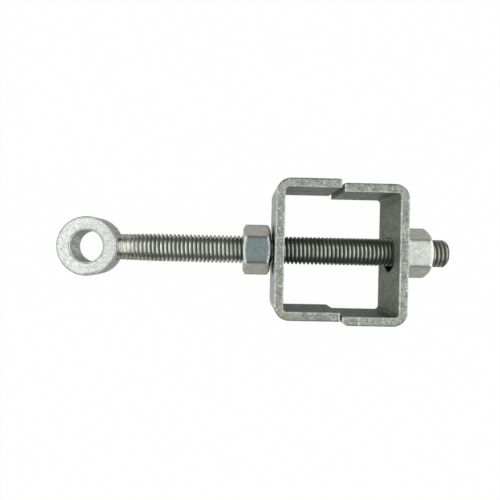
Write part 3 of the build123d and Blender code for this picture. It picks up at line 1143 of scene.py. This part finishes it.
def build_bracket(node, sizes, finish):
    """Make one folded bracket with its punched hole."""
    dent_patch = 5 * MM
    low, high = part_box(node)
    side = (low.y + high.y) / 2
    faces_tail = abs(low.x - bracket_low.x) < MERGE_DISTANCE
    back, inwards = (low.x, 1.0) if faces_tail else (high.x, -1.0)
    points, faces = bracket_bar(sizes, sizes.eye_side_rollover if faces_tail else sizes.tail_side_rollover)
    placed = [(back + inwards * depth, side + across, width) for depth, across, width in points]
    bar = mesh_of("bar", placed, faces)
    dent(bar, sizes.dent_depth, dent_patch)
    mesh = combined(bar, hole_punch(sizes, back, inwards, side), "DIFFERENCE")
    mark_bracket(mesh, sizes, back, inwards, side)
    finished_piece(f"{node}_folded", mesh, [finish], node)


# Stage


def stage_sheet(name, middle, half_sides, material, in_view):
    """Make a flat sheet of the stage, across the axis along which it has no size."""
    wide, long = (axis for axis in range(3) if half_sides[axis] > 0.0)
    corners = []
    for along_wide, along_long in ((-1, -1), (1, -1), (1, 1), (-1, 1)):
        corner = list(middle)
        corner[wide] += along_wide * half_sides[wide]
        corner[long] += along_long * half_sides[long]
        corners.append(corner)
    mesh = bpy.data.meshes.new(name)
    mesh.from_pydata(corners, [], [(0, 1, 2, 3)])
    mesh.materials.append(material)
    sheet = new_object(name, mesh)
    sheet.visible_camera = in_view


def lay_floor(stage):
    """Lay a wide white floor under the brackets, which shows a faint shadow."""
    material = new_material("pale_floor")
    material.node_tree.nodes.clear()
    bench = NodeBench(material.node_tree)
    glow = bench.node("ShaderNodeEmission", {"Color": WHITE, "Strength": 1.0}).outputs[0]
    matt = bench.node("ShaderNodeBsdfDiffuse", {"Color": stage.floor_colour}).outputs[0]
    glow_share = bench.times(bench.seen(), 1.0 - stage.floor_shade)
    surface = bench.node("ShaderNodeMixShader", {0: glow_share, 1: matt, 2: glow}).outputs[0]
    bench.node("ShaderNodeOutputMaterial", {"Surface": surface})
    half_sides = (stage.floor_reach, stage.floor_reach, 0.0)
    stage_sheet("floor", (0.0, 0.0, floor_height), half_sides, material, in_view=True)


def light_world(stage):
    """Make the surroundings white to the eye and in reflections, with gentle even light."""
    world = bpy.data.worlds.new("studio")
    world.use_nodes = True
    bpy.context.scene.world = world
    bench = NodeBench(world.node_tree)
    background = world.node_tree.nodes["Background"].inputs
    bench.feed(background["Color"], WHITE)
    bench.feed(background["Strength"], bench.between(bench.seen(), stage.sky_strength, 1.0))


def hang_panel(name, lean, stage):
    """Hang one soft panel, leaning the given angle from overhead towards the tail."""
    light = bpy.data.lights.new(name, "AREA")
    light.shape = "RECTANGLE"
    light.size, light.size_y = stage.panel_sides
    light.energy = stage.panel_strength * math.pi * light.size * light.size_y
    panel = new_object(name, light)
    turn = Matrix.Rotation(lean, 4, "Y")
    back_off = Matrix.Translation((0.0, 0.0, stage.panel_distance))
    panel.matrix_world = Matrix.Translation(stage.camera_target) @ turn @ back_off
    panel.visible_camera = False


def hang_card(name, tone, middle, half_sides, glow=0.0):
    """Hang a matt card that only reflections show."""
    material = new_material(name)
    bench = NodeBench(material.node_tree)
    shader = material.node_tree.nodes["Principled BSDF"].inputs
    for socket, value in (
        ("Base Color", tone),
        ("Roughness", 1.0),
        ("Emission Color", tone),
        ("Emission Strength", glow),
    ):
        bench.feed(shader[socket], value)
    stage_sheet(name, middle, half_sides, material, in_view=False)


def hang_cards(stage):
    """Hang a blue-grey card overhead for level faces, and dark ones at both sides for the bolt's flanks."""
    x, y, _ = stage.camera_target
    overhead = (x, y, stage.card_height)
    half_sides = (*stage.card_reach, 0.0)
    hang_card("overhead_card", stage.card_colour, overhead, half_sides, stage.card_glow)
    half_height = stage.flag_height / 2
    for name, side in (("upper_flag", 1.0), ("lower_flag", -1.0)):
        middle = (x, y + side * stage.flag_reach, floor_height + half_height)
        hang_card(name, stage.flag_colour, middle, (stage.flag_half_length, 0.0, half_height))


def place_camera(stage):
    """Set the camera over the hinge, looking down the bore."""
    camera = bpy.data.cameras.new("camera")
    camera.lens = stage.camera_lens
    camera.sensor_width = stage.camera_sensor
    camera.clip_start = 10 * MM
    camera.dof.use_dof = False
    holder = new_object("camera", camera)
    lean = Euler(stage.camera_turn, "ZYX").to_matrix().to_4x4()
    back_off = Matrix.Translation((0.0, 0.0, stage.camera_distance))
    holder.matrix_world = Matrix.Translation(stage.camera_target) @ lean @ back_off
    bpy.context.scene.camera = holder


# Operators


class HINGE_OT_eye_bolt(bpy.types.Operator):
    """Build the eye bolt with its forged ring and rolled thread"""

    bl_idname = "hinge.eye_bolt"
    bl_label = "Eye Bolt"

    def execute(self, context):
        scene = context.scene
        build_eye_bolt(scene.hinge_eye_bolt, scene.hinge_finishes)
        return {"FINISHED"}


class HINGE_OT_brackets(bpy.types.Operator):
    """Build the two folded brackets"""

    bl_idname = "hinge.brackets"
    bl_label = "Brackets"

    def execute(self, context):
        scene = context.scene
        finish = galvanised_bar(scene.hinge_finishes)
        for node in ("eye_side_bracket", "tail_side_bracket"):
            build_bracket(node, scene.hinge_brackets, finish)
        return {"FINISHED"}


class HINGE_OT_nuts(bpy.types.Operator):
    """Build the two hexagon nuts"""

    bl_idname = "hinge.nuts"
    bl_label = "Nuts"

    def execute(self, context):
        scene = context.scene
        finish = zinc_nut(scene.hinge_finishes)
        for node in ("eye_side_nut", "tail_side_nut"):
            build_nut(node, scene.hinge_nuts, scene.hinge_eye_bolt, finish)
        return {"FINISHED"}


class HINGE_OT_stage(bpy.types.Operator):
    """Lay the floor, hang the lights and set the camera"""

    bl_idname = "hinge.stage"
    bl_label = "Stage"

    def execute(self, context):
        stage = context.scene.hinge_stage
        lay_floor(stage)
        light_world(stage)
        hang_panel("eye_side_panel", stage.eye_side_lean, stage)
        hang_panel("tail_side_panel", stage.tail_side_lean, stage)
        hang_cards(stage)
        place_camera(stage)
        context.scene.view_settings.view_transform = "Standard"
        return {"FINISHED"}


OPERATORS = (HINGE_OT_eye_bolt, HINGE_OT_brackets, HINGE_OT_nuts, HINGE_OT_stage)
SETTINGS = {
    "hinge_eye_bolt": HingeEyeBoltSizes,
    "hinge_brackets": HingeBracketSizes,
    "hinge_nuts": HingeNutSizes,
    "hinge_finishes": HingeFinishes,
    "hinge_stage": HingeStage,
}


class HINGE_PT_panel(bpy.types.Panel):
    """Sidebar panel with the hinge's operators and settings"""

    bl_idname = "HINGE_PT_panel"
    bl_label = "Gate Hinge"
    bl_space_type = "VIEW_3D"
    bl_region_type = "UI"
    bl_category = "Gate Hinge"

    def draw(self, context):
        layout = self.layout
        for operator in OPERATORS:
            layout.operator(operator.bl_idname)
        for name, group in SETTINGS.items():
            box = layout.box()
            box.label(text=group.__doc__)
            for field in group.__annotations__:
                box.prop(getattr(context.scene, name), field)


CLASSES = (*SETTINGS.values(), *OPERATORS, HINGE_PT_panel)


def register():
    """Register the classes and hang the settings on the scene."""
    for item in CLASSES:
        bpy.utils.register_class(item)
    for name, group in SETTINGS.items():
        setattr(bpy.types.Scene, name, PointerProperty(type=group))


def unregister():
    """Take the settings off the scene and unregister the classes."""
    for name in SETTINGS:
        delattr(bpy.types.Scene, name)
    for item in reversed(CLASSES):
        bpy.utils.unregister_class(item)


def main():
    """Build every piece and the stage."""
    register()
    bpy.ops.hinge.eye_bolt()
    bpy.ops.hinge.brackets()
    bpy.ops.hinge.nuts()
    bpy.ops.hinge.stage()


if __name__ == "__main__":
    main()
